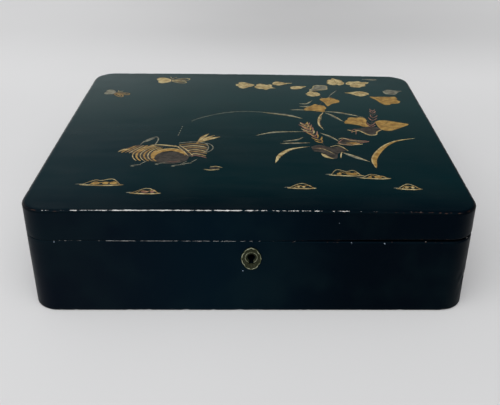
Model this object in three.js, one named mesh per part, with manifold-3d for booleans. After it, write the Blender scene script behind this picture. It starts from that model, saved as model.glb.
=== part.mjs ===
// A flat lacquered box with a lift-off lid and a small brass keyhole plate.
// Millimetres, +Z up. The origin is at the middle of the underside, and the front faces -Y.

import * as THREE from 'three';
import { mergeVertices } from 'three/addons/utils/BufferGeometryUtils.js';
import Module from 'manifold-3d';

const wasm = await Module();
wasm.setup();

// Outside sizes of the closed box
const WIDTH = 300;
const DEPTH = 275;
const HEIGHT = 80;            // at the middle of the lid, its highest point
const CORNER_RADIUS = 18;     // of the four upright corners, seen from above
const SEAM_HEIGHT = 56.25;    // where the lid rests on the box

// Crown of the lid: how far its top falls from the middle to the edges
const CROWN_ACROSS = 0.9;
const CROWN_BACK = 0.6;

// Walls
const BOX_WALL = 7;
const RISER_THICKNESS = 2.8;  // the thin inner wall that stands up inside the lid
const RISER_HEIGHT = 9;       // above the seam
const FIT = 0.3;              // play between the riser and the lid's skirt
const SHOULDER = BOX_WALL - RISER_THICKNESS;
const LID_WALL = SHOULDER - FIT;
const FLOOR_THICKNESS = 6;
const LID_TOP_THICKNESS = 5.5;

// Rounded edges
const BASE_ROUND = 1.5;
const SEAM_ROUND = 0.9;
const TOP_ROUND = 2.5;
const RISER_ROUND = 0.8;
const INNER_FILLET = 3;

// Keyhole and its plate, centred on the front wall
const PLATE_WIDTH = 13.4;     // between the side lobes; the points stand a little further out
const PLATE_HEIGHT = 17.0;
const PLATE_BELOW_SEAM = 13;  // from the seam down to the plate's centre
const PLATE_THICKNESS = 0.6;
const LOBE_DEPTH = 0.06;      // share of the radius that the notches between the lobes go in
const POINT_REACH = 0.1;      // share of the radius that the four points stand out
const POINT_SPREAD = 0.13;    // radians
const RIM_WIDTH = 1.1;
const RING_RADIUS = 4.0;
const RING_WIDTH = 1.0;
const BEAD_HEIGHT = 0.5;      // of the rim and the ring, above the plate
const KEY_HEAD_RADIUS = 2.6;
const KEY_HEAD_ABOVE = 1.0;   // from the plate's centre up to the head's centre
const KEY_SLOT_TOP = 1.3;     // half the slot's width under the head
const KEY_SLOT_FOOT = 1.9;    // half the slot's width at its lower end
const KEY_LENGTH = 7.6;

// Facets
const CORNER_STEPS = 8;
const SIDE_STEPS = 6;
const EDGE_STEPS = 4;
const PLATE_STEPS = 64;
const BEAD_STEPS = 4;
const CROWN_RINGS = [0.75, 0.5, 0.25];   // shares of the lid's top where its crown has a ring of points

const FRONT = -DEPTH / 2;
const PLATE_CENTRE = SEAM_HEIGHT - PLATE_BELOW_SEAM;

// A level ring round the box, anticlockwise from above: the outer outline taken in by inset at height z.
// share below 1 shrinks it towards the middle, for the rings that carry the crown of the lid.
function ring(inset, z, share = 1) {
  const radius = CORNER_RADIUS - Math.min(inset, CORNER_RADIUS - 1);
  const cornerX = WIDTH / 2 - inset - radius;
  const cornerY = DEPTH / 2 - inset - radius;
  const points = [];
  for (const [quarter, signX, signY] of [[0, 1, 1], [1, -1, 1], [2, -1, -1], [3, 1, -1]]) {
    for (let step = 0; step <= CORNER_STEPS; step++) {
      const angle = (quarter + step / CORNER_STEPS) * Math.PI / 2;
      const x = signX * cornerX + radius * Math.cos(angle);
      const y = signY * cornerY + radius * Math.sin(angle);
      points.push(new THREE.Vector3(x * share, y * share, z));
    }
    const start = points[points.length - 1];
    const runsAcross = quarter % 2 === 0;
    const acrossBy = runsAcross ? -2 * signX * cornerX : 0;
    const backBy = runsAcross ? 0 : -2 * signY * cornerY;
    const along = new THREE.Vector3(acrossBy, backBy, 0);
    for (let step = 1; step < SIDE_STEPS; step++) {
      points.push(start.clone().addScaledVector(along, share * step / SIDE_STEPS));
    }
  }
  return points;
}

// Rings round a quarter circle in the wall's section, from one angle to another, about (inset, z).
function roundedEdge(inset, z, radius, from, to) {
  const rings = [];
  for (let step = 0; step <= EDGE_STEPS; step++) {
    const angle = THREE.MathUtils.lerp(from, to, step / EDGE_STEPS) * Math.PI / 180;
    rings.push(ring(inset - radius * Math.cos(angle), z + radius * Math.sin(angle)));
  }
  return rings;
}

// One closed skin over rings with the same number of points, with a fan of faces at each end. The rings
// start underneath, run out and up, and end on top, so the faces point out.
function skin(rings) {
  const count = rings[0].length;
  const corners = [];
  const cap = (points, upward) => {
    const middle = new THREE.Vector3();
    points.forEach((p) => middle.addScaledVector(p, 1 / count));
    for (let i = 0; i < count; i++) {
      const pair = [points[i], points[(i + 1) % count]];
      corners.push(middle, ...(upward ? pair : pair.reverse()));
    }
  };
  cap(rings[0], false);
  for (let k = 0; k + 1 < rings.length; k++) {
    for (let i = 0; i < count; i++) {
      const next = (i + 1) % count;
      const [a, b, c, d] = [rings[k][i], rings[k][next], rings[k + 1][next], rings[k + 1][i]];
      corners.push(a, b, c, a, c, d);
    }
  }
  cap(rings[rings.length - 1], true);
  return new THREE.BufferGeometry().setFromPoints(corners);
}

function toSolid(geometry) {
  const plain = geometry.clone();
  plain.deleteAttribute('normal');
  plain.deleteAttribute('uv');
  const merged = mergeVertices(plain, 1e-5);
  const vertProperties = new Float32Array(merged.attributes.position.array);
  const triVerts = new Uint32Array(merged.index.array);
  return new wasm.Manifold(new wasm.Mesh({ numProp: 3, vertProperties, triVerts }));
}

function toGeometry(solid) {
  const { vertProperties, triVerts } = solid.getMesh();
  const geometry = new THREE.BufferGeometry();
  geometry.setAttribute('position', new THREE.BufferAttribute(vertProperties, 3));
  geometry.setIndex(new THREE.BufferAttribute(triVerts, 1));
  return geometry;
}

// Stands a flat drawing upright against the front wall: its y becomes height, and its thickness comes
// forward.
function againstFront(geometry, forward = 0) {
  return geometry.rotateX(Math.PI / 2).translate(0, FRONT - forward, PLATE_CENTRE);
}

// The keyhole as a bar from in front of the plate to the inside of the box: a round head over a slot
// that widens downwards.
function keyholeBar() {
  const slotAngle = Math.asin(KEY_SLOT_TOP / KEY_HEAD_RADIUS);
  const foot = KEY_HEAD_ABOVE + KEY_HEAD_RADIUS - KEY_LENGTH;
  const shape = new THREE.Shape();
  shape.moveTo(KEY_SLOT_FOOT, foot);
  shape.lineTo(KEY_SLOT_TOP, KEY_HEAD_ABOVE - KEY_HEAD_RADIUS * Math.cos(slotAngle));
  shape.absarc(0, KEY_HEAD_ABOVE, KEY_HEAD_RADIUS, slotAngle - Math.PI / 2, 1.5 * Math.PI - slotAngle);
  shape.lineTo(-KEY_SLOT_FOOT, foot);
  const clear = 3;
  const length = BOX_WALL + 2 * clear;
  const bar = new THREE.ExtrudeGeometry(shape, { depth: length, bevelEnabled: false, curveSegments: 20 });
  return againstFront(bar, clear - length);
}

function boxBodyGeometry() {
  const riserTop = SEAM_HEIGHT + RISER_HEIGHT;
  const rings = [
    ...roundedEdge(BASE_ROUND, BASE_ROUND, BASE_ROUND, -90, 0),
    ...roundedEdge(SEAM_ROUND, SEAM_HEIGHT - SEAM_ROUND, SEAM_ROUND, 0, 90),
    ring(SHOULDER, SEAM_HEIGHT),
    ...roundedEdge(SHOULDER + RISER_ROUND, riserTop - RISER_ROUND, RISER_ROUND, 0, 90),
    ...roundedEdge(BOX_WALL - RISER_ROUND, riserTop - RISER_ROUND, RISER_ROUND, 90, 180),
    ...roundedEdge(BOX_WALL + INNER_FILLET, FLOOR_THICKNESS + INNER_FILLET, INNER_FILLET, 0, -90),
  ];
  return toGeometry(toSolid(skin(rings)).subtract(toSolid(keyholeBar())));
}

// The lid's top falls away from its middle like a shallow cushion; the skirt below takes a share of that,
// down to nothing at the seam.
function crown(geometry) {
  const position = geometry.attributes.position;
  for (let i = 0; i < position.count; i++) {
    const [x, y, z] = [position.getX(i), position.getY(i), position.getZ(i)];
    const fall = CROWN_ACROSS * (2 * x / WIDTH) ** 2 + CROWN_BACK * (2 * y / DEPTH) ** 2;
    position.setZ(i, z - fall * (z - SEAM_HEIGHT) / (HEIGHT - SEAM_HEIGHT));
  }
  return geometry;
}

function lidGeometry() {
  const ceiling = HEIGHT - LID_TOP_THICKNESS;
  const rings = [
    ring(LID_WALL + INNER_FILLET, ceiling, CROWN_RINGS[1]),
    ...roundedEdge(LID_WALL + INNER_FILLET, ceiling - INNER_FILLET, INNER_FILLET, 90, 0),
    ring(LID_WALL, SEAM_HEIGHT),
    ...roundedEdge(SEAM_ROUND, SEAM_HEIGHT + SEAM_ROUND, SEAM_ROUND, -90, 0),
    ...roundedEdge(TOP_ROUND, HEIGHT - TOP_ROUND, TOP_ROUND, 0, 90),
    ...CROWN_RINGS.map((share) => ring(TOP_ROUND, HEIGHT, share)),
  ];
  return crown(skin(rings));
}

// Radius of the keyhole plate at an angle: an upright oval with eight lobes, and a small point
// at the top, the foot and each side.
function plateRadius(angle) {
  const oval = 1 / Math.hypot(2 * Math.cos(angle) / PLATE_WIDTH, 2 * Math.sin(angle) / PLATE_HEIGHT);
  const notch = LOBE_DEPTH * Math.cos(4 * angle) ** 4;
  const fromPoint = angle - Math.round(angle / (Math.PI / 2)) * Math.PI / 2;
  const point = POINT_REACH * Math.exp(-((fromPoint / POINT_SPREAD) ** 2));
  return oval * (1 - notch + point);
}

// Rings over a rounded bead that stands on the plate: across runs from 0 at its outer foot to 1 at its
// inner one.
function bead(ringAt) {
  const rings = [];
  for (let step = 0; step <= BEAD_STEPS; step++) {
    const across = step / BEAD_STEPS;
    rings.push(ringAt(across, PLATE_THICKNESS + BEAD_HEIGHT * Math.sin(across * Math.PI)));
  }
  return rings;
}

// The plate lies face up while it is shaped. A raised rim follows its edge, and a raised ring goes round
// the head of the keyhole.
function keyholePlateGeometry() {
  const level = (radiusAt, height, up = 0) => {
    const points = [];
    for (let step = 0; step < PLATE_STEPS; step++) {
      const angle = step / PLATE_STEPS * 2 * Math.PI;
      const radius = radiusAt(angle);
      points.push(new THREE.Vector3(radius * Math.cos(angle), radius * Math.sin(angle) + up, height));
    }
    return points;
  };
  const edge = (across, height) => level((angle) => plateRadius(angle) - across * RIM_WIDTH, height);
  const ringFrom = RING_RADIUS + RING_WIDTH / 2;
  const circle = (across, height) => level(() => ringFrom - across * RING_WIDTH, height, KEY_HEAD_ABOVE);
  const plate = againstFront(skin([edge(0, 0), ...bead(edge), ...bead(circle)]));
  return toGeometry(toSolid(plate).subtract(toSolid(keyholeBar())));
}

function piece(name, geometry, look) {
  const mesh = new THREE.Mesh(geometry, new THREE.MeshStandardMaterial(look));
  mesh.name = name;
  return mesh;
}

const lacquer = { color: 0x0a1a20, roughness: 0.25, metalness: 0 };
const agedBrass = { color: 0x4f4a2c, roughness: 0.45, metalness: 1 };

const lacquerBox = new THREE.Group();
lacquerBox.add(
  piece('box_body', boxBodyGeometry(), lacquer),
  piece('lid', lidGeometry(), lacquer),
  piece('keyhole_plate', keyholePlateGeometry(), agedBrass),
);

export default lacquerBox;
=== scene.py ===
"""The looks of a flat lacquered box with a lift-off lid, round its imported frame.

Shapes are worked out in millimetres in the part's own frame and scaled to metres when a mesh is made.
"""

import math
import random

import bpy
import bmesh
import numpy as np
from mathutils import Matrix, Vector, noise
from mathutils.geometry import tessellate_polygon


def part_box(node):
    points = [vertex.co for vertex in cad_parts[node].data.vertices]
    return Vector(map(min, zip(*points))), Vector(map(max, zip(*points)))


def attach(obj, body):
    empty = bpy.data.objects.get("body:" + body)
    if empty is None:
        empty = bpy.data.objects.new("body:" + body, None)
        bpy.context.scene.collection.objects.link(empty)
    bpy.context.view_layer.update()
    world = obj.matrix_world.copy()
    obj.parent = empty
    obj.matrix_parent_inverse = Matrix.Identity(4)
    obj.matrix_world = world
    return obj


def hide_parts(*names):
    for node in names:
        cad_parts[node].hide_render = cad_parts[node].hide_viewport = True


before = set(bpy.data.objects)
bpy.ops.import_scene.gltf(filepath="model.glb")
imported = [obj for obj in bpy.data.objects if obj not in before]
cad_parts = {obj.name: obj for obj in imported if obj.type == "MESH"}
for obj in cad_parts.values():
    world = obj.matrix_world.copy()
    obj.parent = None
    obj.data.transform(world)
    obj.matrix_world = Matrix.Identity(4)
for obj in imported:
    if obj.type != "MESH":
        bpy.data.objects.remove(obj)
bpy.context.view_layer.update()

MM = 0.001

# The closed box's outside sizes, read off the frame
lid_low, lid_high = (np.array(corner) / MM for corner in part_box("lid"))
plate_low, plate_high = (np.array(corner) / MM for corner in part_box("keyhole_plate"))
WIDTH = lid_high[0] - lid_low[0]
DEPTH = lid_high[1] - lid_low[1]
HEIGHT = lid_high[2]
SEAM = lid_low[2]
FRONT = lid_low[1]
RISER_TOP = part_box("box_body")[1][2] / MM

# Walls and edges, as in the solids
CORNER_RADIUS = 18
BOX_WALL = 7
SHOULDER = 4.2
LID_WALL = 3.9
FLOOR_THICKNESS = 6
LID_TOP_THICKNESS = 5.5
BASE_ROUND = 1.5
SEAM_ROUND = 0.9
TOP_ROUND = 2.5
RISER_ROUND = 0.8
INNER_FILLET = 3
CROWN_ACROSS = 0.9
CROWN_BACK = 0.6

# Old wood: slow waves in its faces, a soft fall near the lid's edges, and room for the painted picture
TOP_CLEARANCE = 0.17
SWELL = 0.05
EDGE_FALL = 0.12
EDGE_FALL_WIDTH = 8

# How deep the worn edges are nicked
BASE_NICKS = 0.3
BODY_SEAM_NICKS = 0.15
LID_SEAM_NICKS = 0.12
TOP_NICKS = 0.35

# The battered front right corner: its middle, its reach and how deep its nicks are
BATTERED_PLACE = (148, -130, 26)
BATTERED_REACH = (6, 12, 14)
BATTERED_DEPTH = 1.3

# The warped lid: how far it stands off the box at the right end of the front, and the seam's edges there.
# The gap starts at WARP_START and grows to the right and to the front over WARP_RUN.
GAPE = 1.4
TIGHT_SEAM_ROUND = 0.75 * SEAM_ROUND
OPEN_SEAM_ROUND = 1.5
WARP_START = (-12, -20)
WARP_RUN = (130, -100)

# Wear along the front, with a painted highlight in the lip's and the silver wear, as places across and how
# much shows there, and its amount on the other sides
LIP_WEAR_AND_HIGHLIGHT = (
    (-146, 0.0), (-134, 0.3), (-128, 0.5), (-100, 0.48), (-93, 0.76), (-60, 0.8), (-10, 0.78), (2, 0.58),
    (15, 0.42), (30, 0.28), (60, 0.2), (130, 0.15), (140, 0.25), (150, 0.2),
)
LIP_ELSEWHERE = 0.3
SILVER_WEAR_AND_HIGHLIGHT = (
    (-146, 0.0), (-137, 0.2), (-133, 0.75), (-128, 0.4), (-122, 0.55), (-110, 0.6), (-106, 0.95), (-92, 0.8),
    (-84, 1.08), (-8, 1.05), (0, 0.7), (25, 0.62), (45, 0.6), (52, 0.4), (70, 0.42), (90, 0.2), (150, 0.2),
)
SILVER_ELSEWHERE = 0.28
RED_WEAR = ((-150, 0.4), (-130, 0.45), (-80, 0.3), (40, 0.3), (90, 0.38), (115, 0.5), (148, 0.45))
RED_ELSEWHERE = 0.42

# Mesh fineness
CORNER_STEPS = 14
SIDE_SPACING = 2.0
WALL_SPACING = 3.0
EDGE_STEPS = 10
TOP_EDGE_STEPS = 14
FILLET_STEPS = 6
RISER_STEPS = 4
INNER_WALL_RINGS = 5
TOP_RINGS = 24
FLAT_SHARES = (0.2, 0.45, 0.7, 0.93)
UNDERSIDE_SHARES = (0.25, 0.5, 0.75, 0.93)

# Keyhole plate, as in the solid
PLATE_WIDTH = 13.4
PLATE_HEIGHT = 17.0
PLATE_CENTRE = (plate_low[2] + plate_high[2]) / 2
PLATE_ACROSS = (plate_low[0] + plate_high[0]) / 2
PLATE_THICKNESS = 0.6
BEAD_HEIGHT = 0.5
LOBES = 8
LOBE_DEPTH = 0.06
POINT_REACH = 0.1
POINT_SPREAD = 0.13
RIM_WIDTH = 0.9
RING_RADIUS = 4.0
RING_WIDTH = 0.8
KEY_HEAD_RADIUS = 2.6
KEY_HEAD_ABOVE = 1.0
KEY_SLOT_TOP = 1.3
KEY_SLOT_FOOT = 1.9
KEY_LENGTH = 7.6

# Petals between the plate's rim and ring, the rubbed look of its raised parts, and its fineness
PETALS = 20
PETAL_DEPTH = 0.14
RIM_RUB = 1.0
RING_RUB = 0.65
PETAL_RUB = 0.04
RUB_SHARPNESS = 3.5
PLATE_STEPS = 192
BEAD_STEPS = 8
FIELD_STEPS = 8
KEY_HEAD_STEPS = 33
KEY_OVERRUN = 3

# Paint films: how far they stand up from the lacquer, and how far they are sunk in it
SUNK = 0.04
WASH = 0.04
FILL = 0.06
LINE = 0.08
ACCENT = 0.1
CHIP = 0.02
THINNEST_STROKE = 0.06

# Colours of the lacquer, its painted sheen and shade, its wear and what shows under it
# The lid top's tones from front to back: a painted sheen, darkest at the front and lightest at the back
TOP_AT_FRONT = (0.0003, 0.0036, 0.007)
TOP_NEAR_FRONT = (0.001, 0.0135, 0.017)
TOP_AT_BACK = (0.0016, 0.025, 0.0265)
# A painted sheen on the lid's top towards the front left
TOP_LEFT_SHEEN = (0.009, 0.024, 0.033)
# The walls' tones across: a painted shade, lightest on the left and darkest on the right
WALL_AT_LEFT = (0.0016, 0.0026, 0.0052)
WALL_IN_MIDDLE = (0.0007, 0.0039, 0.0075)
WALL_AT_RIGHT = (0.0002, 0.0008, 0.0022)
CLOUDED = (0.005, 0.013, 0.014)
INSIDE = (0.006, 0.0055, 0.005)
# Near-black painted shade in the seam's gap and low on the lid's top edge
PAINTED_SHADE = (0.0004, 0.0006, 0.0008)
RUDDY = (0.034, 0.018, 0.013)
# Bare ground where the edges are worn, and a painted highlight along them
BARE_AND_LIT_DARK = (0.22, 0.215, 0.205)
BARE_AND_LIT_LIGHT = (0.8, 0.79, 0.78)
LACQUER_SHEEN = (0.25, 0.7, 1.0)
UNDER_THIN_PAINT = (0.01, 0.022, 0.024)

# Colours of the brass
HOLLOW_DARK = (0.004, 0.0056, 0.0012)
HOLLOW_LIGHT = (0.015, 0.018, 0.0042)
CREST_DARK = (0.062, 0.072, 0.028)
CREST_LIGHT = (0.42, 0.44, 0.31)


# Node materials

class Patterns:
    """Pattern and arithmetic nodes in one node tree, over a place or a direction."""

    def __init__(self, tree, coordinates):
        self.nodes = tree.nodes
        self.links = tree.links
        self.place = self.nodes.new("ShaderNodeTexCoord").outputs[coordinates]

    def feed(self, socket, value):
        """Links a socket to another, or sets it to a plain value."""
        if isinstance(value, bpy.types.NodeSocket):
            self.links.new(value, socket)
        elif isinstance(value, tuple):
            socket.default_value = (*value, 1)
        else:
            socket.default_value = value

    def axis(self, letter):
        """One part of the place: across, back or up."""
        node = self.nodes.new("ShaderNodeSeparateXYZ")
        self.links.new(self.place, node.inputs["Vector"])
        return node.outputs[letter]

    def noise(self, size, detail=2.0, stretch=(1, 1, 1)):
        """Soft noise from 0 to 1 in blotches about size millimetres across, longer where stretched."""
        mapping = self.nodes.new("ShaderNodeMapping")
        mapping.inputs["Scale"].default_value = [1 / (size * MM * s) for s in stretch]
        self.links.new(self.place, mapping.inputs["Vector"])
        node = self.nodes.new("ShaderNodeTexNoise")
        node.inputs["Scale"].default_value = 1
        node.inputs["Detail"].default_value = detail
        self.links.new(mapping.outputs["Vector"], node.inputs["Vector"])
        return node.outputs["Fac"]

    def between(self, value, low, high, to_low=0.0, to_high=1.0):
        """Eases value from to_low at low to to_high at high."""
        node = self.nodes.new("ShaderNodeMapRange")
        node.interpolation_type = "SMOOTHSTEP"
        self.feed(node.inputs["Value"], value)
        for name, number in zip(("From Min", "From Max", "To Min", "To Max"), (low, high, to_low, to_high)):
            node.inputs[name].default_value = number
        return node.outputs["Result"]

    def along(self, letter, low, high, to_low=0.0, to_high=1.0):
        """Eases from to_low to to_high between two places on an axis, in millimetres."""
        return self.between(self.axis(letter), low * MM, high * MM, to_low, to_high)

    def math(self, operation, first, second):
        node = self.nodes.new("ShaderNodeMath")
        node.operation = operation
        self.feed(node.inputs[0], first)
        self.feed(node.inputs[1], second)
        return node.outputs["Value"]

    def mix(self, share, first, second):
        """Colour that turns from first to second as share goes from 0 to 1."""
        node = self.nodes.new("ShaderNodeMix")
        node.data_type = "RGBA"
        factor, a, b = node.inputs[0], node.inputs[6], node.inputs[7]
        for socket, value in ((factor, share), (a, first), (b, second)):
            self.feed(socket, value)
        return node.outputs[2]

    def ramp(self, value, stops):
        """Grey levels read off value at stops, each a position and a level."""
        node = self.nodes.new("ShaderNodeValToRGB")
        self.links.new(value, node.inputs["Fac"])
        elements = node.color_ramp.elements
        while len(elements) < len(stops):
            elements.new(0.5)
        for element, (position, level) in zip(elements, stops):
            element.position = position
            element.color = (level, level, level, 1)
        return node.outputs["Color"]

    def glow(self, direction, reach, core, strength):
        """A round soft light about a direction: none at the cosine reach, and full at core."""
        node = self.nodes.new("ShaderNodeVectorMath")
        node.operation = "DOT_PRODUCT"
        node.inputs[1].default_value = Vector(direction).normalized()
        self.links.new(self.place, node.inputs[0])
        return self.between(node.outputs["Value"], reach, core, 0, strength)


class Look(Patterns):
    """A principled material, whose patterns read the piece's own place in the frame."""

    def __init__(self, name):
        self.material = bpy.data.materials.new(name)
        self.material.use_nodes = True
        super().__init__(self.material.node_tree, "Object")
        self.shader = next(n for n in self.nodes if n.type == "BSDF_PRINCIPLED")

    def set(self, **values):
        """Sets the shader's sockets, named with _ for each space."""
        for name, value in values.items():
            self.feed(self.shader.inputs[name.replace("_", " ")], value)

    def mark(self, name):
        """A value stored on the mesh's points."""
        node = self.nodes.new("ShaderNodeAttribute")
        node.attribute_name = name
        return node.outputs["Fac"]

    def bump(self, height, depth):
        """Roughens the shading by a height pattern depth millimetres deep."""
        node = self.nodes.new("ShaderNodeBump")
        node.inputs["Strength"].default_value = 1.0
        node.inputs["Distance"].default_value = depth * MM
        self.links.new(height, node.inputs["Height"])
        self.set(Normal=node.outputs["Normal"])


def top_tone(look):
    """The lid's top: greener and lighter towards the back, and lighter at the front left, both a painted
    sheen.
    """
    tone = look.mix(look.along("Y", -145, -85), TOP_AT_FRONT, TOP_NEAR_FRONT)
    tone = look.mix(look.along("Y", -80, 100), tone, TOP_AT_BACK)
    left_sheen = look.math("MULTIPLY", look.along("X", -35, -110), look.along("Y", 60, -40, 0, 0.25))
    return look.mix(left_sheen, tone, TOP_LEFT_SHEEN)


def wall_tone(look):
    """The walls: bluer in the middle and darkest on the right, where a painted shade darkens them."""
    tone = look.mix(look.along("X", -130, -15), WALL_AT_LEFT, WALL_IN_MIDDLE)
    return look.mix(look.along("X", -35, 85), tone, WALL_AT_RIGHT)


def lacquer_look():
    """Blue-black lacquer, cloudy and faintly scratched, with painted sheen and shade in its tones, bare and
    ruddy wear on its edges with a painted highlight on the bare wear, and painted shade in the seam's gap
    and under the top edge.
    """
    look = Look("old_lacquer")
    cloud = look.noise(40, 3)
    top, inner, grime = look.mark("top"), look.mark("inner"), look.mark("grime")
    ragged = look.between(look.noise(1.3, 5, (2.5, 2.5, 1.0)), 0.2, 0.8, -0.5, 0.5)
    ruddy = look.between(look.math("ADD", look.mark("ruddy"), ragged), 0.5, 0.75)
    pale = look.between(look.math("ADD", look.mark("pale"), ragged), 0.5, 0.7)
    bare_and_lit = look.mix(look.noise(6, 2), BARE_AND_LIT_DARK, BARE_AND_LIT_LIGHT)
    colour = look.mix(top, wall_tone(look), top_tone(look))
    colour = look.mix(look.between(cloud, 0.4, 0.75, 0, 0.22), colour, CLOUDED)
    for share, tone in ((inner, INSIDE), (grime, PAINTED_SHADE), (ruddy, RUDDY), (pale, bare_and_lit)):
        colour = look.mix(share, colour, tone)
    scratches = look.between(look.noise(1.2, 2, (30, 6, 1)), 0.3, 0.8, 0, 0.08)
    rough = look.math("ADD", look.between(top, 0, 1, 0.34, 0.15), scratches)
    rough = look.math("ADD", rough, look.between(cloud, 0.3, 0.7, 0, 0.05))
    for share, worn_rough in ((pale, 0.55), (ruddy, 0.5), (grime, 0.75), (inner, 0.42)):
        rough = look.math("MAXIMUM", rough, look.math("MULTIPLY", share, worn_rough))
    look.set(Base_Color=colour, Roughness=rough, IOR=1.12, Specular_Tint=LACQUER_SHEEN)
    look.bump(look.noise(7, 3), 0.012)
    return look.material


def brass_look():
    """Aged brass: dark olive in the hollows, pale greenish grey where the raised edges are rubbed."""
    look = Look("aged_brass")
    grain = look.noise(0.7, 4)
    hollow = look.mix(grain, HOLLOW_DARK, HOLLOW_LIGHT)
    crest = look.mix(look.between(look.noise(3.0, 2), 0.35, 0.65), CREST_DARK, CREST_LIGHT)
    worn = look.math("MULTIPLY", look.mark("raised"), look.between(grain, 0.2, 0.5, 0.4, 1.0))
    look.set(Base_Color=look.mix(worn, hollow, crest), Metallic=look.between(worn, 0, 1, 0.3, 0.4),
             Roughness=look.between(grain, 0.3, 0.7, 0.38, 0.55), IOR=1.3)
    look.bump(grain, 0.05)
    return look.material


def paint_look(name, dark, light, metallic, rubbed, size=4.0):
    """Painted decoration whose tone varies over size millimetres, rubbed thin in small spots."""
    look = Look(name)
    colour = look.mix(look.between(look.noise(size, 3), 0.32, 0.68), dark, light)
    thin = look.between(look.noise(0.9, 4), 0.54, 0.68, 0, rubbed)
    colour = look.mix(thin, colour, UNDER_THIN_PAINT)
    grain = look.noise(0.5, 2)
    rough = look.between(grain, 0.3, 0.7, 0.42, 0.6)
    look.set(Base_Color=colour, Metallic=metallic, Roughness=rough, IOR=1.25)
    look.bump(grain, 0.02)
    return look.material


# Meshes

def make_object(name, points, faces, material, marks=None, smooth=True):
    """A mesh object from points in millimetres, with marks stored on its points."""
    mesh = bpy.data.meshes.new(name)
    mesh.from_pydata((np.asarray(points, float) * MM).tolist(), [], faces)
    mesh.validate()
    for mark, values in (marks or {}).items():
        mesh.attributes.new(mark, "FLOAT", "POINT").data.foreach_set("value", np.asarray(values, np.float32))
    mesh.polygons.foreach_set("use_smooth", [smooth] * len(mesh.polygons))
    mesh.materials.append(material)
    obj = bpy.data.objects.new(name, mesh)
    bpy.context.collection.objects.link(obj)
    return obj


def skin_faces(count, rings):
    """Faces of a closed skin over rings of count points each. Its two end points come after the rings."""
    last = (rings - 1) * count
    start, end = rings * count, rings * count + 1
    faces = []
    for i in range(count):
        following = (i + 1) % count
        faces.append((start, following, i))
        for base in range(0, last, count):
            faces.append((base + i, base + following, base + count + following, base + count + i))
        faces.append((last + i, last + following, end))
    return faces


def wall_line():
    """Points of the box's outline seen from above, anticlockwise, and the outward direction at each."""
    half = np.array([WIDTH / 2, DEPTH / 2]) - CORNER_RADIUS
    signs = [(1, 1), (-1, 1), (-1, -1), (1, -1)]
    points, outward = [], []
    for quarter, sign in enumerate(signs):
        centre = half * sign
        for step in range(CORNER_STEPS + 1):
            angle = (quarter + step / CORNER_STEPS) * math.pi / 2
            outward.append(np.array([math.cos(angle), math.sin(angle)]))
            points.append(centre + CORNER_RADIUS * outward[-1])
        start = points[-1]
        along = half * signs[(quarter + 1) % 4] - centre
        count = round(np.linalg.norm(along) / SIDE_SPACING)
        for step in range(1, count):
            outward.append(outward[-1])
            points.append(start + along * step / count)
    return np.array(points), np.array(outward)


def ease(value):
    """0 up to 0, 1 from 1 on, and smooth between them."""
    value = np.clip(value, 0, 1)
    return value * value * (3 - 2 * value)


OUTLINE, OUTWARD = wall_line()
FACES_FRONT = OUTWARD[:, 1] < -0.7

# How much of the lid's warp, and of the open seam's rounding, each point of the outline has
WARP = np.prod(ease((OUTLINE - WARP_START) / WARP_RUN), axis=1)
SEAM_EDGE = TIGHT_SEAM_ROUND + (OPEN_SEAM_ROUND - TIGHT_SEAM_ROUND) * WARP


def waves(a, b):
    """Slow uneven waves from 0 to 1 over a surface whose places are a and b."""
    wave = np.sin(a / 9.7 + 1.3 * np.sin(b / 17))
    wave = wave + np.sin(b / 8.3 + 1.1 * np.sin(a / 23))
    wave = wave + np.sin((a + b) / 31)
    return 0.5 + wave / 6


def nicks(z, size=5.0, share=0.25):
    """How deep each point of the outline is nicked at height z: 0 for most, and about 1 in a deep nick."""
    depth = [noise.noise(Vector((x, y, z)) / size) for x, y in OUTLINE]
    return np.clip((np.array(depth) - share) / (1 - share), 0, 1) * 2


def worn_wall(z):
    """How far the outer wall lies inside its true outline at height z."""
    along = OUTLINE[:, 0] - OUTLINE[:, 1]
    level = np.full_like(along, z)
    away = (np.column_stack([OUTLINE, level]) - BATTERED_PLACE) / BATTERED_REACH
    battered = np.exp(-np.sum(away ** 2, axis=1))
    return SWELL * waves(along, level) + BATTERED_DEPTH * battered * nicks(z, 3.0, 0.0)


class Shell:
    """A closed skin over rings of the box's outline."""

    # Marks on the points: the top, the inside, pale wear with a painted highlight, ruddy wear, and painted
    # shade
    mark_names = ("top", "inner", "pale", "ruddy", "grime")

    def __init__(self):
        self.rings = []
        self.marks = {name: [] for name in self.mark_names}

    def ring(self, inset, z, share=1.0, **marks):
        """The outline taken in by inset at height z, then shrunk towards the middle by share."""
        flat = (OUTLINE - np.reshape(inset, (-1, 1)) * OUTWARD) * share
        self.rings.append(np.column_stack([flat, np.broadcast_to(z, len(flat))]))
        for name, values in self.marks.items():
            values.append(np.broadcast_to(marks.get(name, 0.0), len(flat)))

    def arc(self, inset, z, radius, start, end, steps=EDGE_STEPS, dent=0.0, **marks):
        """Rings over a rounded edge about (inset, z). A mark may be a function of the arc's angle."""
        for step in range(steps + 1):
            degrees = start + (end - start) * step / steps
            angle = math.radians(degrees)
            here = {name: mark(degrees) if callable(mark) else mark for name, mark in marks.items()}
            sunk = dent * math.sin(math.pi * step / steps)
            self.ring(inset + sunk - radius * math.cos(angle), z + (radius - sunk) * math.sin(angle), **here)

    def wall(self, low, high):
        """Rings up the outer wall between two heights."""
        for z in np.linspace(low, high, round((high - low) / WALL_SPACING) + 1):
            self.ring(worn_wall(z), z)

    def build(self, name, material, reshape=None):
        """The skin as an object. reshape is a function that moves its points first."""
        ends = [ring.mean(axis=0) for ring in (self.rings[0], self.rings[-1])]
        points = np.vstack([*self.rings, *ends])
        if reshape:
            points = reshape(points)
        marks = {mark: np.concatenate([*values, [values[0][0], values[-1][0]]])
                 for mark, values in self.marks.items()}
        return make_object(name, points, skin_faces(len(OUTLINE), len(self.rings)), material, marks)


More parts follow.
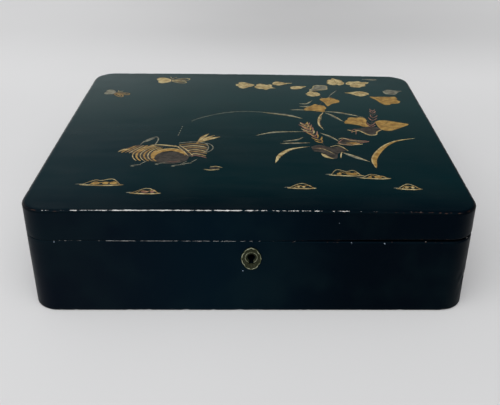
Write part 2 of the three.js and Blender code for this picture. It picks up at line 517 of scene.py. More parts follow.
def close_to(middle, spread, amount=1.0):
    """A mark along an arc: a bell that reaches amount at the angle middle."""
    return lambda degrees: amount * math.exp(-(((degrees - middle) / spread) ** 2))


def rising(start, end):
    """A mark along an arc: none up to the angle start, 1 at end, and more beyond it."""
    return lambda degrees: max(0, (degrees - start) / (end - start))


def along_front(wear, elsewhere):
    """Amounts of wear at places across the front, and one amount for the other sides."""
    places, amounts = zip(*wear)
    return np.where(FACES_FRONT, np.interp(OUTLINE[:, 0], places, amounts), elsewhere)


def body_object(material):
    """The lower box: its underside, its wall up to the seam, its shoulder and riser, and its inside."""
    shell = Shell()
    for share in UNDERSIDE_SHARES:
        shell.ring(BASE_ROUND, 0, share, inner=1)
    shell.arc(BASE_ROUND, BASE_ROUND, BASE_ROUND, -90, 0, dent=BASE_NICKS * nicks(0),
              ruddy=close_to(-40, 25, 0.42))
    shell.wall(BASE_ROUND + 1, SEAM - OPEN_SEAM_ROUND - 1)
    lip = along_front(LIP_WEAR_AND_HIGHLIGHT, LIP_ELSEWHERE)
    # The seam's lip: pale wear with a painted highlight, ruddy wear, and painted shade where it turns into
    # the gap
    shell.arc(SEAM_EDGE, SEAM - SEAM_EDGE, SEAM_EDGE, 0, 90, dent=BODY_SEAM_NICKS * nicks(SEAM),
              pale=close_to(66, 13, lip), ruddy=close_to(40, 30, 0.3), grime=rising(76, 90))
    # The shoulder inside the seam's gap carries painted shade
    shell.ring(SHOULDER, SEAM, inner=1, grime=1)
    riser_edge = RISER_TOP - RISER_ROUND
    shell.arc(SHOULDER + RISER_ROUND, riser_edge, RISER_ROUND, 0, 90, RISER_STEPS, inner=1)
    shell.arc(BOX_WALL - RISER_ROUND, riser_edge, RISER_ROUND, 90, 180, RISER_STEPS, inner=1)
    inset, foot = BOX_WALL + INNER_FILLET, FLOOR_THICKNESS + INNER_FILLET
    for z in np.linspace(RISER_TOP - 6, foot + 5, INNER_WALL_RINGS):
        shell.ring(BOX_WALL, z, inner=1)
    shell.arc(inset, foot, INNER_FILLET, 0, -90, FILLET_STEPS, inner=1)
    for share in reversed(FLAT_SHARES):
        shell.ring(inset, FLOOR_THICKNESS, share, inner=1)
    return shell.build("lacquered_box", material)


def lid_fall(x, y):
    """How far the lid's top lies below its highest level: its crown, slow waves, and a fall at its edges."""
    crown = CROWN_ACROSS * (2 * x / WIDTH) ** 2 + CROWN_BACK * (2 * y / DEPTH) ** 2
    from_edge = np.minimum(WIDTH / 2 - np.abs(x), DEPTH / 2 - np.abs(y))
    edge = np.clip(1 - from_edge / EDGE_FALL_WIDTH, 0, 1) ** 2
    return crown + (TOP_CLEARANCE + SWELL * waves(x, y)) * (1 - edge) + EDGE_FALL * edge


def crown_lid(points):
    """Lowers the lid's points by its fall, in full on top and not at all at the seam."""
    x, y, z = points.T
    share = np.clip((z - SEAM) / (HEIGHT - SEAM), 0, 1)
    return np.column_stack([x, y, z - lid_fall(x, y) * share])


def lid_object(material):
    """The lid: its ceiling, the inside of its skirt, its foot on the seam, its wall and its crowned top."""
    shell = Shell()
    ceiling = HEIGHT - LID_TOP_THICKNESS
    inset, foot = LID_WALL + INNER_FILLET, SEAM + GAPE * WARP
    for share in FLAT_SHARES:
        shell.ring(inset, ceiling, share, inner=1)
    shell.arc(inset, ceiling - INNER_FILLET, INNER_FILLET, 90, 0, FILLET_STEPS, inner=1)
    shell.ring(LID_WALL, foot + 6, inner=1)
    # The lid's foot and the lower side of its seam edge carry painted shade towards the gap
    shell.ring(LID_WALL, foot, inner=1, grime=1)
    shell.arc(SEAM_EDGE, foot + SEAM_EDGE, SEAM_EDGE, -90, 0, dent=LID_SEAM_NICKS * nicks(SEAM + 20),
              ruddy=close_to(-40, 25, 0.35), grime=rising(-45, -70))
    shell.wall(SEAM + GAPE + OPEN_SEAM_ROUND + 1, HEIGHT - TOP_ROUND - 1)
    bare_and_lit = along_front(SILVER_WEAR_AND_HIGHLIGHT, SILVER_ELSEWHERE)
    red = along_front(RED_WEAR, RED_ELSEWHERE)
    # The top edge: pale wear with a painted highlight, ruddy wear, and painted shade low on its rounding
    shell.arc(TOP_ROUND, HEIGHT - TOP_ROUND, TOP_ROUND, 0, 90, TOP_EDGE_STEPS, TOP_NICKS * nicks(HEIGHT),
              top=rising(60, 90), pale=close_to(56, 9, bare_and_lit), ruddy=close_to(46, 18, red),
              grime=close_to(22, 12, 0.8))
    for step in range(1, TOP_RINGS):
        share = 1 - (step / TOP_RINGS) ** 1.5
        shell.ring(TOP_ROUND, HEIGHT, share, top=1)
    return shell.build("lacquered_lid", material, crown_lid)


# Keyhole plate

def against_front(points):
    """Stands points of a flat drawing up against the front wall: y becomes height, z comes forward."""
    x, y, z = np.asarray(points, float).T
    return np.column_stack([PLATE_ACROSS + x, FRONT - z, PLATE_CENTRE + y])


def keyhole_bar():
    """The keyhole as a bar through the plate and the wall: a round head over a slot."""
    slot_angle = math.asin(KEY_SLOT_TOP / KEY_HEAD_RADIUS)
    start, end = slot_angle - math.pi / 2, 1.5 * math.pi - slot_angle
    foot = KEY_HEAD_ABOVE + KEY_HEAD_RADIUS - KEY_LENGTH
    line = [(-KEY_SLOT_FOOT, foot), (KEY_SLOT_FOOT, foot)]
    for angle in np.linspace(start, end, KEY_HEAD_STEPS):
        line.append((KEY_HEAD_RADIUS * math.cos(angle), KEY_HEAD_ABOVE + KEY_HEAD_RADIUS * math.sin(angle)))
    count = len(line)
    points = [(x, y, z) for z in (KEY_OVERRUN, -BOX_WALL - KEY_OVERRUN) for x, y in line]
    faces = [tuple(range(count)), tuple(reversed(range(count, 2 * count)))]
    for i in range(count):
        following = (i + 1) % count
        faces.append((i, i + count, following + count, following))
    return make_object("keyhole_bar", against_front(points), faces, None, smooth=False)


def cut(target, bar):
    """Takes the bar out of the target's mesh."""
    modifier = target.modifiers.new("keyhole", "BOOLEAN")
    modifier.object = bar
    modifier.solver = "EXACT"
    graph = bpy.context.evaluated_depsgraph_get()
    mesh = bpy.data.meshes.new_from_object(target.evaluated_get(graph))
    target.modifiers.clear()
    target.data = mesh


def plate_radius(angle):
    """An upright oval with lobes and a small point at the top, the foot and each side."""
    oval = 1 / np.hypot(2 * np.cos(angle) / PLATE_WIDTH, 2 * np.sin(angle) / PLATE_HEIGHT)
    notch = LOBE_DEPTH * np.cos(LOBES / 2 * angle) ** 4
    from_point = angle - np.round(angle / (math.pi / 2)) * math.pi / 2
    return oval * (1 - notch + POINT_REACH * np.exp(-((from_point / POINT_SPREAD) ** 2)))


def plate_object(material):
    """The plate: a beaded rim, petals in a shallow hollow, and a beaded ring round the keyhole."""
    angle = np.arange(PLATE_STEPS) / PLATE_STEPS * 2 * math.pi
    direction = np.column_stack([np.cos(angle), np.sin(angle)])
    head = np.array([0, KEY_HEAD_ABOVE])
    rings, raised = [], []

    def add(flat, height, amount):
        rings.append(np.column_stack([flat, np.broadcast_to(height, len(flat))]))
        raised.append(np.broadcast_to(amount, len(flat)))

    def rim(across):
        return direction * (plate_radius(angle) - across * RIM_WIDTH)[:, None]

    def circle(across):
        return head + direction * (RING_RADIUS + RING_WIDTH / 2 - across * RING_WIDTH)

    def bead(band, rub):
        for step in range(BEAD_STEPS + 1):
            rise = math.sin(step / BEAD_STEPS * math.pi)
            add(band(step / BEAD_STEPS), PLATE_THICKNESS + BEAD_HEIGHT * rise, rub * rise ** RUB_SHARPNESS)

    add(rim(0), 0, 0)
    bead(rim, RIM_RUB)
    for step in range(1, FIELD_STEPS):
        share = step / FIELD_STEPS
        hollow = math.sin(share * math.pi)
        petal = np.cos(PETALS * angle / 2) ** 2 * hollow
        flat = rim(1) * (1 - share) + circle(0) * share
        add(flat, PLATE_THICKNESS - PETAL_DEPTH * (1 - petal) * hollow, PETAL_RUB * petal)
    bead(circle, RING_RUB)
    points = np.vstack([*rings, [[0, 0, 0]], [[*head, PLATE_THICKNESS]]])
    marks = {"raised": np.concatenate([*raised, [0, 0]])}
    faces = skin_faces(PLATE_STEPS, len(rings))
    return make_object("lobed_keyhole_plate", against_front(points), faces, material, marks)


# Lines and films of paint

def curve(points, steps=8):
    """A smooth line through points (Catmull-Rom)."""
    p = np.array(points, float)
    p = np.vstack([2 * p[0] - p[1], p, 2 * p[-1] - p[-2]])
    t = np.linspace(0, 1, steps, endpoint=False)[:, None]
    line = []
    for a, b, c, d in zip(p, p[1:], p[2:], p[3:]):
        line.append(0.5 * (2 * b + (c - a) * t + (2 * a - 5 * b + 4 * c - d) * t ** 2
                           + (3 * b - a - 3 * c + d) * t ** 3))
    return np.vstack([*line, p[-2:-1]])


def closed_curve(points, steps=5):
    """A smooth closed line through points."""
    around = [*points[-2:], *points, *points[:2]]
    return curve(around, steps)[2 * steps:-2 * steps - 1]


def turned(points, place, turn=0.0, size=1.0):
    """Points scaled, turned by degrees and moved to place."""
    angle = math.radians(turn)
    spin = np.array([[math.cos(angle), math.sin(angle)], [-math.sin(angle), math.cos(angle)]])
    return np.asarray(points, float) * size @ spin + np.asarray(place, float)


def sideways(line):
    """The direction to the left of a line at each of its points."""
    slope = np.gradient(line, axis=0)
    slope /= np.linalg.norm(slope, axis=1)[:, None]
    return np.column_stack([-slope[:, 1], slope[:, 0]])


def oval(centre, across, back, start=0, end=360, steps=36):
    """Points along an upright oval between two angles in degrees."""
    t = np.radians(np.linspace(start, end, steps, endpoint=end - start < 360))
    return np.column_stack([across * np.cos(t), back * np.sin(t)]) + centre


def lid_surface(flat, height):
    """Places over the lid's top, height millimetres above it."""
    x, y = np.asarray(flat, float).T
    return np.column_stack([x, y, HEIGHT - lid_fall(x, y) + height])


def front_surface(flat, height):
    """Places on the front wall: across, up, and height millimetres in front of it."""
    x, z = np.asarray(flat, float).T
    return np.column_stack([x, np.full_like(x, FRONT) - height, z])


class Film:
    """Paint of one colour: thin closed patches and strokes laid on a surface."""

    def __init__(self, surface=lid_surface):
        self.surface = surface
        self.points = []
        self.faces = []

    def add(self, rings, faces):
        base = len(self.points)
        self.points.extend(np.vstack(rings).tolist())
        self.faces.extend(tuple(base + i for i in face) for face in faces)

    def patch(self, outline, height=FILL):
        """A filled closed outline."""
        count = len(outline)
        faces = [tuple(face) for face in tessellate_polygon([[Vector((*p, 0)) for p in outline]])]
        faces += [tuple(i + count for i in face) for face in faces]
        faces += [(i + count, (i + 1) % count + count, (i + 1) % count, i) for i in range(count)]
        self.add([self.surface(outline, height), self.surface(outline, -SUNK)], faces)

    def stroke(self, line, width, height=LINE, ends=0.15):
        """A brush stroke along a line, width millimetres at its widest. ends is its share at both ends,
        or a function gives the share of width from 0 to 1 along it."""
        line = np.asarray(line, float)
        gaps = np.linalg.norm(np.diff(line, axis=0), axis=1)
        along = np.minimum(np.concatenate([[0], np.cumsum(gaps)]) / gaps.sum(), 1)
        share = ends(along) if callable(ends) else ends + (1 - ends) * np.sin(along * math.pi) ** 0.5
        side = sideways(line) * (np.maximum(share * width, THINNEST_STROKE) / 2)[:, None]
        section = ((-side, -SUNK), (-side, height * 0.5), (0, height), (side, height * 0.5), (side, -SUNK))
        rings = [self.surface(line + shift, level) for shift, level in section]
        count, sides = len(line), len(rings)
        faces = []
        for k in range(sides):
            a, b = k * count, (k + 1) % sides * count
            faces += [(a + i, a + i + 1, b + i + 1, b + i) for i in range(count - 1)]
        faces.append(tuple(k * count for k in range(sides)))
        faces.append(tuple(k * count + count - 1 for k in reversed(range(sides))))
        self.add(rings, faces)

    def loop(self, outline, width, height=LINE):
        """A stroke round a closed outline."""
        line = np.vstack([outline, outline[:1]])
        self.stroke(line, width, height, lambda along: np.ones_like(along))

    def draw(self, points, width, height=LINE, ends=0.15, steps=8):
        """A stroke along a smooth line through points."""
        self.stroke(curve(points, steps), width, height, ends)

    def fill(self, points, height):
        """A patch with a smooth outline through points."""
        self.patch(closed_curve(points), height)

    def build(self, name, material, slot):
        """The film as an object that rides on the box, with its faces turned outward."""
        obj = make_object(name, self.points, self.faces, material, smooth=False)
        mesh = bmesh.new()
        mesh.from_mesh(obj.data)
        bmesh.ops.recalc_face_normals(mesh, faces=mesh.faces)
        mesh.to_mesh(obj.data)
        mesh.free()
        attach(obj, "root")
        return obj


# Motifs of the painted picture

# A film for each colour of paint, and the painter's uneven hand
gold, pale_gold, silver, brown, coral = (Film() for _ in range(5))
hand = random.Random(11)

# Halves of leaves of unit height, each from its foot round to its tip, and their veins
IVY = ((0.00, -0.38), (0.13, -0.46), (0.33, -0.38), (0.46, -0.16), (0.4, 0.02), (0.42, 0.16), (0.3, 0.27),
       (0.17, 0.33), (0.08, 0.46), (0.00, 0.56))
FAN = ((0.00, -0.5), (0.1, -0.42), (0.22, -0.2), (0.42, -0.02), (0.5, 0.18), (0.38, 0.3), (0.26, 0.33),
       (0.16, 0.44), (0.00, 0.49))
SPEAR = ((0.00, -0.45), (0.17, -0.4), (0.27, -0.2), (0.25, 0.04), (0.12, 0.3), (0.00, 0.56))
VEIN_FOOT = (0, -0.36)
VEIN_ENDS = ((-0.3, 0.06), (0.02, 0.44), (0.3, 0.08))
VEIN_WIDTH = 0.55
RIM_LINE = 0.8
STEM_WIDTH = 0.8


def leaf_outline(half):
    """A whole leaf from its half, drawn a little unevenly."""
    side = [(x + hand.uniform(-0.03, 0.03), y + hand.uniform(-0.03, 0.03)) for x, y in half[1:-1]]
    other = [(-x + hand.uniform(-0.05, 0.05), y + hand.uniform(-0.04, 0.04)) for x, y in reversed(side)]
    return closed_curve([half[0], *side, half[-1], *other])


def leaf(half, place, size, turn, film, stretch=1.0, veins=True, rim=None):
    """A painted leaf whose tip points back when turn is 0, with dark veins and sometimes a drawn rim."""
    shape = np.array([stretch * size, size])
    outline = turned(leaf_outline(half) * shape, place, turn)
    film.patch(outline, FILL)
    if veins:
        for x, y in VEIN_ENDS:
            vein = np.array([VEIN_FOOT, (0.35 * x, 0.4 * y - 0.16), (x, y)]) * shape
            brown.stroke(turned(curve(vein, 4), place, turn), VEIN_WIDTH, LINE)
    if rim:
        rim.loop(outline, RIM_LINE, ACCENT)


def blade(points, width, film=silver, widest=0.45, edge=None):
    """A grass blade through points, pointed at both ends, sometimes with one edge drawn in."""
    line = curve(points)

    def share(along):
        return np.sin(along ** (math.log(0.5) / math.log(widest)) * math.pi) ** 1.2

    film.stroke(line, width, FILL, share)
    if edge:
        offset = 0.33 * width * share(np.linspace(0, 1, len(line)))
        edge.stroke(line + sideways(line) * offset[:, None], 0.26 * width, LINE, 0.2)


def stem(points, width=STEM_WIDTH, film=brown):
    film.draw(points, width, WASH, 0.4)


def floret_share(along):
    """A floret's share of its width along it: widest a little before its middle."""
    return np.sin(0.08 + along ** 0.8 * 2.9) ** 0.6


def flower_spike(points, width, florets, tones, end_tone=None):
    """A spike of small slanting florets in several tones, set a little apart. Its last
    quarter is in end_tone, where one is given."""
    stem(points)
    line = curve(points)
    for i in range(florets):
        share = (i + 0.5) / florets
        index = share * (len(line) - 2)
        start, ahead = line[int(index)], line[int(index) + 1] - line[int(index)]
        here = start + ahead * (index % 1)
        heading = math.degrees(math.atan2(ahead[1], ahead[0]))
        reach = width * (0.45 + 0.45 * math.sin(share * math.pi) ** 0.7)
        for side in (-1, 1):
            floret = reach * np.array([(0, 0), (0.45, 0.05 * side), (0.95, 0.25 * side)])
            floret = turned(curve(floret, 4), here, heading + 180 - side * hand.uniform(30, 52))
            tone = end_tone if end_tone and i > 0.75 * florets else tones[(i + 3 * (side > 0)) % len(tones)]
            tone.stroke(floret, 0.11 * width, LINE, floret_share)


def wing_outline(length, width, turn, place):
    """A rounded wing that runs from its root at place and is fuller towards its tip."""
    t = np.linspace(0, 2 * math.pi, 28, endpoint=False)
    radius = width / 2 * (0.62 + 0.38 * np.sin(t / 2) ** 2)
    outline = np.column_stack([length / 2 - length / 2 * np.cos(t), radius * np.sin(t)])
    return turned(outline, place, turn)


def butterfly(place, size, turn, body, drawn):
    """A butterfly seen from above: a pair of wings filled with body's paint and a pair drawn in lines."""
    for angle, length, width in ((160, 0.5, 0.4), (206, 0.42, 0.34)):
        body.patch(wing_outline(length * size, width * size, turn + angle, place), FILL)
    for angle, length, width in ((22, 0.6, 0.26), (-16, 0.52, 0.24)):
        drawn.loop(wing_outline(length * size, width * size, turn + angle, place), RIM_LINE, LINE)
        rib = curve([(0.12, 0), (0.3, 0.01), (0.8 * length, 0)], 4)
        gold.stroke(turned(rib, place, turn + angle, size), 0.9, LINE)
    trunk = curve([(0, -0.2), (0.01, 0), (0, 0.2)], 4)
    brown.stroke(turned(trunk, place, turn, size), 1.3, ACCENT)
    for lean in (-0.1, 0.12):
        feeler = curve([(0, 0.18), (0.5 * lean, 0.3), (lean, 0.36)], 4)
        pale_gold.stroke(turned(feeler, place, turn, size), 0.5, ACCENT)


def ridge(left, foot, width, height, humps):
    """An uneven row of low humps over a level foot, from left to right."""
    line = [(left, foot)]
    for k in range(humps):
        top = left + width * (k + hand.uniform(0.42, 0.6)) / humps
        line.append((top, foot + height * hand.uniform(0.75, 1.0)))
        if k < humps - 1:
            dip = left + width * (k + hand.uniform(0.92, 1.08)) / humps
            line.append((dip, foot + height * hand.uniform(0.5, 0.7)))
    return curve([*line, (left + width, foot)], 6)


def mound(place, width, height, humps, blots, blot_film=gold):
    """A low tuft of ground: a fine uneven outline, and blots of paint along a thicker foot."""
    left, foot = place[0] - width / 2, place[1] - height / 2
    crest = ridge(left + 0.05 * width, foot, 0.88 * width, height, humps)
    inner = ridge(left + 0.22 * width, foot, 0.68 * width, 0.58 * height, humps + 1)
    pale_gold.stroke(crest, 0.6, LINE, 0.5)
    gold.stroke(inner, 0.6, ACCENT, 0.4)
    for at, share in blots:
        blot = oval((left + at * width, foot + 0.24 * height), share * width / 2, 0.17 * height, steps=10)
        blot_film.patch(blot, FILL)
    sag = [(left, foot + 0.2), (left + 0.3 * width, foot - 0.5), (left + 0.66 * width, foot - 0.9),
           (left + width, foot - 0.1)]
    pale_gold.draw(sag, 1.3, ACCENT, 0.3)
    tail = [(left - 0.1 * width, foot + 0.1 * height), (left + 0.1 * width, foot + 0.18 * height)]
    silver.draw(tail, 0.7)


# The painted picture: places are millimetres across and back from the middle of the lid

def paint_butterflies():
    butterfly((-77, 114), 30, -4, pale_gold, pale_gold)
    butterfly((-124, 78), 23, -30, silver, gold)


def paint_vine():
    """Leaves in a chain over the back of the lid, on the right."""
    stem([(-6, 100), (10, 101), (24, 105), (40, 99), (55, 93), (60, 80), (63, 66), (58, 48), (61, 37)])
    stem([(77, 112), (92, 108), (102, 108), (110, 122)])
    stem([(68, 69), (71, 79), (78, 92)], 1.0, silver)
    leaf(FAN, (-7, 103), 18, 94, pale_gold, 1.0)
    leaf(IVY, (11, 99), 20, -110, pale_gold, 0.8)
    leaf(SPEAR, (27, 109), 19, -82, pale_gold, 0.95)
    leaf(SPEAR, (42, 98), 16, -68, pale_gold, 0.9)
    leaf(FAN, (61, 97), 21, -48, silver, 0.72, rim=pale_gold)
    leaf(IVY, (55, 81), 15, 20, pale_gold, 0.95)
    leaf(FAN, (68, 61), 22, -14, gold, 0.85)
    leaf(FAN, (54, 44), 21, -70, gold, 0.9)
    leaf(IVY, (79, 116), 20, 6, pale_gold, 0.9)
    leaf(IVY, (100, 111), 22, -66, pale_gold, 0.85)
    leaf(SPEAR, (114, 125), 15, 88, silver, 0.5, veins=False)
    leaf(SPEAR, (97, 84), 22, 82, pale_gold, 0.95)
    leaf(SPEAR, (129, 90), 19, -70, silver, 1.3)
    leaf(FAN, (119, 69), 29, -120, gold, 0.8)


def paint_grasses():
    """Long blades over the right half, and a fine one that trails off in dashes to the left."""
    blade([(42, 20), (33, 26), (22, 30), (9, 33)], 3.0, edge=pale_gold)
    silver.draw([(10, 33.5), (-8, 35), (-26, 30), (-42, 20), (-50, 12)], 0.6, FILL, 0.4)
    for k in range(5):
        x, y = -56 - 0.4 * k, 1 - 4.2 * k
        silver.draw([(x, y), (x - 0.6, y - 2.2)], 0.8, FILL)
    for points, width in (
        ([(62, 37), (76, 34), (94, 25)], 2.6), ([(62, 34), (68, 27), (76, 14)], 2.6),
        ([(33, 40), (40, 40), (48, 40)], 1.8), ([(41, 48), (46, 48), (54, 49)], 2.2),
        ([(41, 55), (47, 55), (50, 58), (53, 63)], 1.9), ([(3, -17), (18, -10), (42, -8)], 2.2),
        ([(22, -32), (34, -31), (45, -30)], 2.0), ([(24, -28), (36, -24), (40, -19)], 1.8),
        ([(54, -10), (62, -18), (68, -27)], 2.2), ([(68, -47), (76, -54), (87, -63)], 3.4),
    ):
        blade(points, width, edge=pale_gold)
    blade([(61, 36), (57, 24), (55, 8), (58, -4)], 2.6, pale_gold)
    brown.draw([(60, 32), (57, 22), (56, 8), (57.5, 0)], 1.0)
    blade([(17, -67), (21, -53), (30, -42), (44, -37)], 3.4, pale_gold, 0.4)
    for k in range(7):
        x, y = 18.5 + 1.9 * k, -58 + 3.4 * k - 0.12 * k * k
        brown.draw([(x, y), (x + 2.6, y - 1.2)], 0.7, steps=3)
    blade([(90, -73), (91, -57), (100, -38), (112, -25), (129, -18)], 4.6, gold, 0.3, edge=pale_gold)
    blade([(52, -49), (55, -54), (61, -59)], 3.6, pale_gold)


def paint_flowers():
    """Two flower spikes, and leaves and open flowers in dark washes, among the grasses."""
    leaf(FAN, (88, 14), 24, 34, gold, 0.82)
    leaf(SPEAR, (115, 8), 27, -78, gold, 1.35)
    flower_spike([(104, 42), (102, 26), (98, 8), (96, -2)], 9, 9, (coral, coral, brown))
    flower_spike([(43, 8), (48, -10), (56, -35)], 12, 11, (coral, pale_gold, coral, gold), gold)
    brown.fill([(78, -3), (86, -4), (92, -11), (98, -12), (103, -5), (105, 2), (92, 3)], WASH)
    drawn_edge = [(77, -3), (82, -6), (86, -4), (90, -9), (94, -13), (99, -12), (101, -6), (106, -1)]
    pale_gold.draw(drawn_edge, 1.3, LINE, 0.6)
    coral.draw([(80, -9), (81, -4), (84, -2), (83, -12)], 0.8, FILL, 0.5)
    brown.fill([(45, -38), (52, -34), (60, -38), (68, -37), (71, -44), (65, -49), (63, -58), (58, -56),
                (53, -48), (46, -45)], FILL)
    for points in ([(60, -37), (65, -34.5), (69, -37), (73, -44)], [(66, -57), (67, -50), (68, -46)],
                   [(49, -40), (55, -42), (62, -50)]):
        pale_gold.draw(points, 0.9, LINE, 0.4)
    coral.draw([(46, -42), (51, -39), (57, -40)], 0.8)
    leaf(SPEAR, (78, -27), 24, -84, brown, 0.9, rim=coral)
    for points in ([(68, -22), (72, -20), (77, -24), (87, -26)], [(66, -31), (75, -33), (86, -31)]):
        pale_gold.draw(points, 1.0, ACCENT, 0.4)
    gold.fill([(73, -30), (79, -28), (84, -30), (79, -32)], FILL)


def paint_neck_and_breast():
    """Short bands over the bird's neck, its beak, and bows over its breast."""
    for k in range(5):
        left = -97 + 2.9 * k
        band = [(left, -50 - 0.5 * k), (left + 4, -44 - 0.3 * k), (left + 9, -38 + 0.3 * k)]
        film, width = ((gold, 1.3), (gold, 0.7), (pale_gold, 1.0))[k % 3]
        film.draw(band, width, LINE, 0.5)
    blade([(-91, -44), (-96, -45), (-100, -49)], 2.4, pale_gold)
    for k in range(6):
        bow = oval((-60 - 0.6 * k, -54), 14.0 + 2.2 * k, 14.5 + 0.8 * k, 122 - k, 228 - 3 * k, 16)
        (gold, pale_gold)[k % 2].stroke(bow, (1.5, 0.8, 1.2, 0.7)[k % 4], LINE, 0.5)


def paint_wing():
    """The bird's brown wing with a gold edge, and the line of its back."""
    brown.patch(oval((-58, -59), 11.5, 9.0), LINE)
    coral.draw([(-62, -65), (-57, -66), (-52, -64)], 1.4, ACCENT)
    gold.stroke(oval((-61, -57), 11.8, 12.0, 10, 196, 24), 4.2, ACCENT, 0.3)
    pale_gold.stroke(oval((-61, -57), 13.6, 14.2, 40, 150, 20), 0.8, ACCENT, 0.4)
    pale_gold.draw([(-77, -37), (-70, -36), (-60, -38), (-55, -40)], 1.6, LINE, 0.5)


def paint_tail():
    """Rows of feathers behind the wing, and three raised plumes."""
    for k in range(4):
        y = -31 - 7.2 * k
        feather = curve([(-56 + 3.6 * k, y - 1.5), (-46 + k, y + 0.8), (-38, y - 0.6), (-34, y - 3)])
        (silver if k == 0 else pale_gold).stroke(feather, 1.3, LINE, 0.4)
        (coral if k == 3 else gold).stroke(feather + (0.6, -3.2), 0.8, LINE, 0.4)
    for shift in (0, 3.5):
        pale_gold.draw([(-59 + shift, -36), (-52 + shift, -46), (-47 + shift, -56)], 0.8, ACCENT)
    for reach in (0, 3.5):
        silver.stroke(oval((-40, -41), 7 + reach, 10, -60, 62, 14), 0.9, LINE, 0.5)
    for (x, y), width in (((-34, -14), 3.0), ((-29, -17), 2.2), ((-25, -20), 3.4)):
        middle = ((x - 42) / 2 - 1, (y - 32) / 2 + 1)
        blade([(-43, -34), middle, (x, y)], width, pale_gold, 0.62, gold)


def paint_crest_and_feet():
    silver.draw([(-85, -36), (-82, -28), (-75, -21), (-72.5, -26), (-74, -37)], 1.0, LINE, 0.7, 6)
    blade([(-83, -31), (-79, -26), (-75, -23)], 3.2)
    for x, y in ((-83, -72), (-66, -69), (-54, -72), (-47, -69)):
        leg = [(x + 7, y + 8), (x + 4, y + 4), (x + 2, y + 1)]
        silver.draw(leg, 0.7, steps=4)
        toes = [(x + 3.5, y + 1.2), (x, y + 0.8), (x - 3.5, y - 0.8), (x - 1, y - 1.6)]
        silver.draw(toes, 0.9, steps=4)


def paint_bird():
    """A resting bird over a brown wash, with banded gold feathers and a raised tail."""
    brown.fill([(-96, -46), (-88, -37), (-76, -38), (-58, -39), (-44, -33), (-34, -40), (-35, -52),
                (-48, -58), (-50, -66), (-62, -69), (-76, -63), (-86, -54)], WASH)
    paint_neck_and_breast()
    paint_wing()
    paint_tail()
    paint_crest_and_feet()


def paint_ground():
    """A small stone beside the bird, and low tufts of ground along the front."""
    pale_gold.draw([(-34, -78), (-29, -79), (-23, -77.5)], 0.9)
    pale_gold.draw([(-30, -74), (-26, -73), (-21, -75)], 0.7)
    brown.patch(oval((-27, -76), 3.6, 1.6, steps=12), WASH)
    mound((-102, -97.5), 30, 9, 2, ((0.35, 0.2), (0.58, 0.14), (0.76, 0.18)))
    mound((-71, -110), 21, 8, 1, ((0.48, 0.24), (0.72, 0.14)), coral)
    mound((34, -102), 20, 7, 1, ((0.4, 0.08), (0.58, 0.1)), pale_gold)
    mound((67, -81), 25, 9, 2, ((0.3, 0.14), (0.66, 0.34)))
    mound((87, -86), 22, 7, 1, ((0.34, 0.12), (0.6, 0.26)))
    mound((108, -101), 18, 8, 1, ((0.42, 0.14), (0.66, 0.12)), pale_gold)


# Each paint's film, name, dark and light tone, how metallic and how rubbed it is, and its slot
PAINTS = (
    (gold, "gold", (0.26, 0.14, 0.032), (0.48, 0.3, 0.085), 0.25, 0.3, "gold_decoration"),
    (pale_gold, "pale_gold", (0.3, 0.205, 0.08), (0.6, 0.49, 0.25), 0.2, 0.3, "gold_decoration"),
    (silver, "silver_grey", (0.095, 0.09, 0.068), (0.25, 0.245, 0.18), 0.1, 0.5, "tinted_decoration"),
    (brown, "brown", (0.015, 0.013, 0.011), (0.054, 0.046, 0.037), 0.0, 0.2, "tinted_decoration"),
    (coral, "coral", (0.16, 0.07, 0.05), (0.32, 0.16, 0.11), 0.05, 0.3, "tinted_decoration"),
)


def paint_picture():
    paint_butterflies()
    paint_vine()
    paint_grasses()
    paint_flowers()
    paint_bird()
    paint_ground()
    for film, name, dark, light, metallic, rubbed, slot in PAINTS:
        film.build(f"{name}_motifs", paint_look(f"{name}_paint", dark, light, metallic, rubbed), slot)


# Small chips on the front, where pale ground shows: places across and up, and sizes
CHIPS = ((-5.5, 33.2, 1.1), (66, 55.6, 0.8), (88, 55.0, 1.1), (-128, 55.4, 0.9), (57, 70.5, 0.5))
CHIP_SIDES = 7


def chip_front():
    chips = Film(front_surface)
    for x, z, size in CHIPS:
        outline = []
        for k in range(CHIP_SIDES):
            angle = 2 * math.pi * k / CHIP_SIDES
            radius = size / 2 * hand.uniform(0.7, 1.15)
            outline.append((x + radius * math.cos(angle), z + radius * math.sin(angle)))
        chips.patch(outline, CHIP)
    look = paint_look("bared_ground", (0.08, 0.11, 0.15), (0.2, 0.24, 0.29), 0.0, 0.2, 0.8)
    chips.build("front_chips", look, "tinted_decoration")


# Room, light and camera

FLOOR_TONE = 0.718
FLOOR_BLACK = (0.0, 0.0, 0.0)
FLOOR_WHITE = (1.0, 1.0, 1.01)
FLOOR_REACH = 6000
# The painted shadow behind the box: where across it is deepest, and how far it spreads
PAINTED_SHADOW_MIDDLE = 60
PAINTED_SHADOW_SPREAD = 460


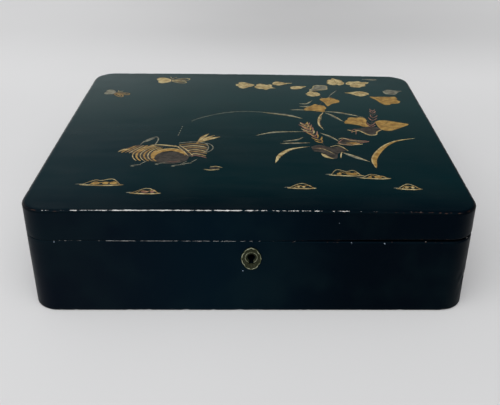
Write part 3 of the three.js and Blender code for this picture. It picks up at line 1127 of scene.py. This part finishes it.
def make_floor():
    """A plain pale floor that runs back out of sight, a little dimmer behind the box and to the right: a
    painted shadow and shade.
    """
    look = Look("pale_floor")
    offset = look.math("SUBTRACT", look.axis("X"), PAINTED_SHADOW_MIDDLE * MM)
    from_middle = look.math("ABSOLUTE", offset, 0.0)
    rightward = look.along("X", -350, 450)
    dim = look.between(from_middle, 0.0, PAINTED_SHADOW_SPREAD * MM, 0.17, 0.055)
    dim = look.math("ADD", dim, look.math("MULTIPLY", rightward, 0.045))
    dim = look.math("MULTIPLY", dim, look.along("Y", 330, 620))
    dim = look.math("ADD", dim, look.math("MULTIPLY", rightward, 0.025))
    dim = look.math("ADD", dim, look.between(look.noise(300, 2), 0.3, 0.7, -0.008, 0.008))
    tone = look.math("SUBTRACT", FLOOR_TONE, dim)
    look.set(Base_Color=look.mix(tone, FLOOR_BLACK, FLOOR_WHITE), Roughness=0.9, Specular_IOR_Level=0.1)
    corners = [(FLOOR_REACH * x, FLOOR_REACH * y, 0) for x, y in ((-1, -1), (1, -1), (1, 1), (-1, 1))]
    make_object("floor", corners, [(0, 1, 2, 3)], look.material, smooth=False)


# Brightness of the surroundings by height over the horizon in degrees, and by how much the lower sky is
# brighter on the left and dimmer on the right
SKY = ((0, 0.6), (8, 0.6), (17, 0.75), (20, 0.33), (23, 0.18), (27, 0.086), (31, 0.04), (40, 0.06),
       (55, 0.28), (90, 0.45))
SKY_LEFT = 2.1
SKY_RIGHT = 0.55
KEY_DIRECTION = (-0.12, -0.68, 0.72)
KEY_REACH = 0.45
KEY_CORE = 0.95
KEY_STRENGTH = 1.9


def make_light():
    """A soft sky, dim at middle height, uneven from left to right low down, and a glow over the front."""
    world = bpy.data.worlds.new("studio_light")
    bpy.context.scene.world = world
    world.use_nodes = True
    sky = Patterns(world.node_tree, "Generated")
    side, up = sky.axis("X"), sky.axis("Z")
    level = sky.ramp(up, [(math.sin(math.radians(height)), level) for height, level in SKY])
    left = sky.between(side, -0.35, 0.05, SKY_LEFT, 1.0)
    right = sky.between(side, 0.0, 0.35, 1.0, SKY_RIGHT)
    lean = sky.math("SUBTRACT", sky.math("MULTIPLY", left, right), 1.0)
    lean = sky.math("ADD", sky.math("MULTIPLY", lean, sky.between(up, 0.6, 0.78, 1, 0)), 1.0)
    key = sky.glow(KEY_DIRECTION, KEY_REACH, KEY_CORE, KEY_STRENGTH)
    total = sky.math("ADD", sky.math("MULTIPLY", level, lean), key)
    background = next(n for n in sky.nodes if n.type == "BACKGROUND")
    sky.links.new(total, background.inputs["Color"])


CAMERA_PLACE = (0.59, -531.63, 300.49)
CAMERA_PITCH = 28.592
CAMERA_YAW = 2.332
CAMERA_ROLL = 1.456
CAMERA_LENS = 50.855
CAMERA_SENSOR = 36
CAMERA_SHIFT = -0.0555


def make_camera():
    """The photograph's viewpoint: in front of the box and above it, looking down on its lid."""
    data = bpy.data.cameras.new("camera")
    data.sensor_fit = "HORIZONTAL"
    data.sensor_width = CAMERA_SENSOR
    data.lens = CAMERA_LENS
    data.shift_x = CAMERA_SHIFT
    camera = bpy.data.objects.new("camera", data)
    bpy.context.collection.objects.link(camera)
    pitch, yaw, roll = (math.radians(a) for a in (CAMERA_PITCH, CAMERA_YAW, CAMERA_ROLL))
    ahead = Vector((math.sin(yaw) * math.cos(pitch), math.cos(yaw) * math.cos(pitch), -math.sin(pitch)))
    level = Vector((math.cos(yaw), -math.sin(yaw), 0))
    upright = level.cross(ahead)
    right = level * math.cos(roll) + upright * math.sin(roll)
    up = upright * math.cos(roll) - level * math.sin(roll)
    turn = Matrix((right, up, -ahead)).transposed().to_4x4()
    camera.matrix_world = Matrix.Translation(Vector(CAMERA_PLACE) * MM) @ turn
    bpy.context.scene.camera = camera


def make_box():
    """The body, the lid and the plate, with the keyhole cut through the wall and the plate."""
    lacquer = lacquer_look()
    brass = brass_look()
    bar = keyhole_bar()
    pieces = (
        (body_object(lacquer), "box_body", "lacquer"),
        (lid_object(lacquer), "lid", "lacquer"),
        (plate_object(brass), "keyhole_plate", "aged_brass"),
    )
    for piece, node, slot in pieces:
        if node != "lid":
            cut(piece, bar)
        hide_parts(node)
        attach(piece, "root")
    bpy.data.objects.remove(bar)


bpy.context.scene.view_settings.view_transform = "Standard"
make_camera()
make_floor()
make_light()
make_box()
paint_picture()
chip_front()
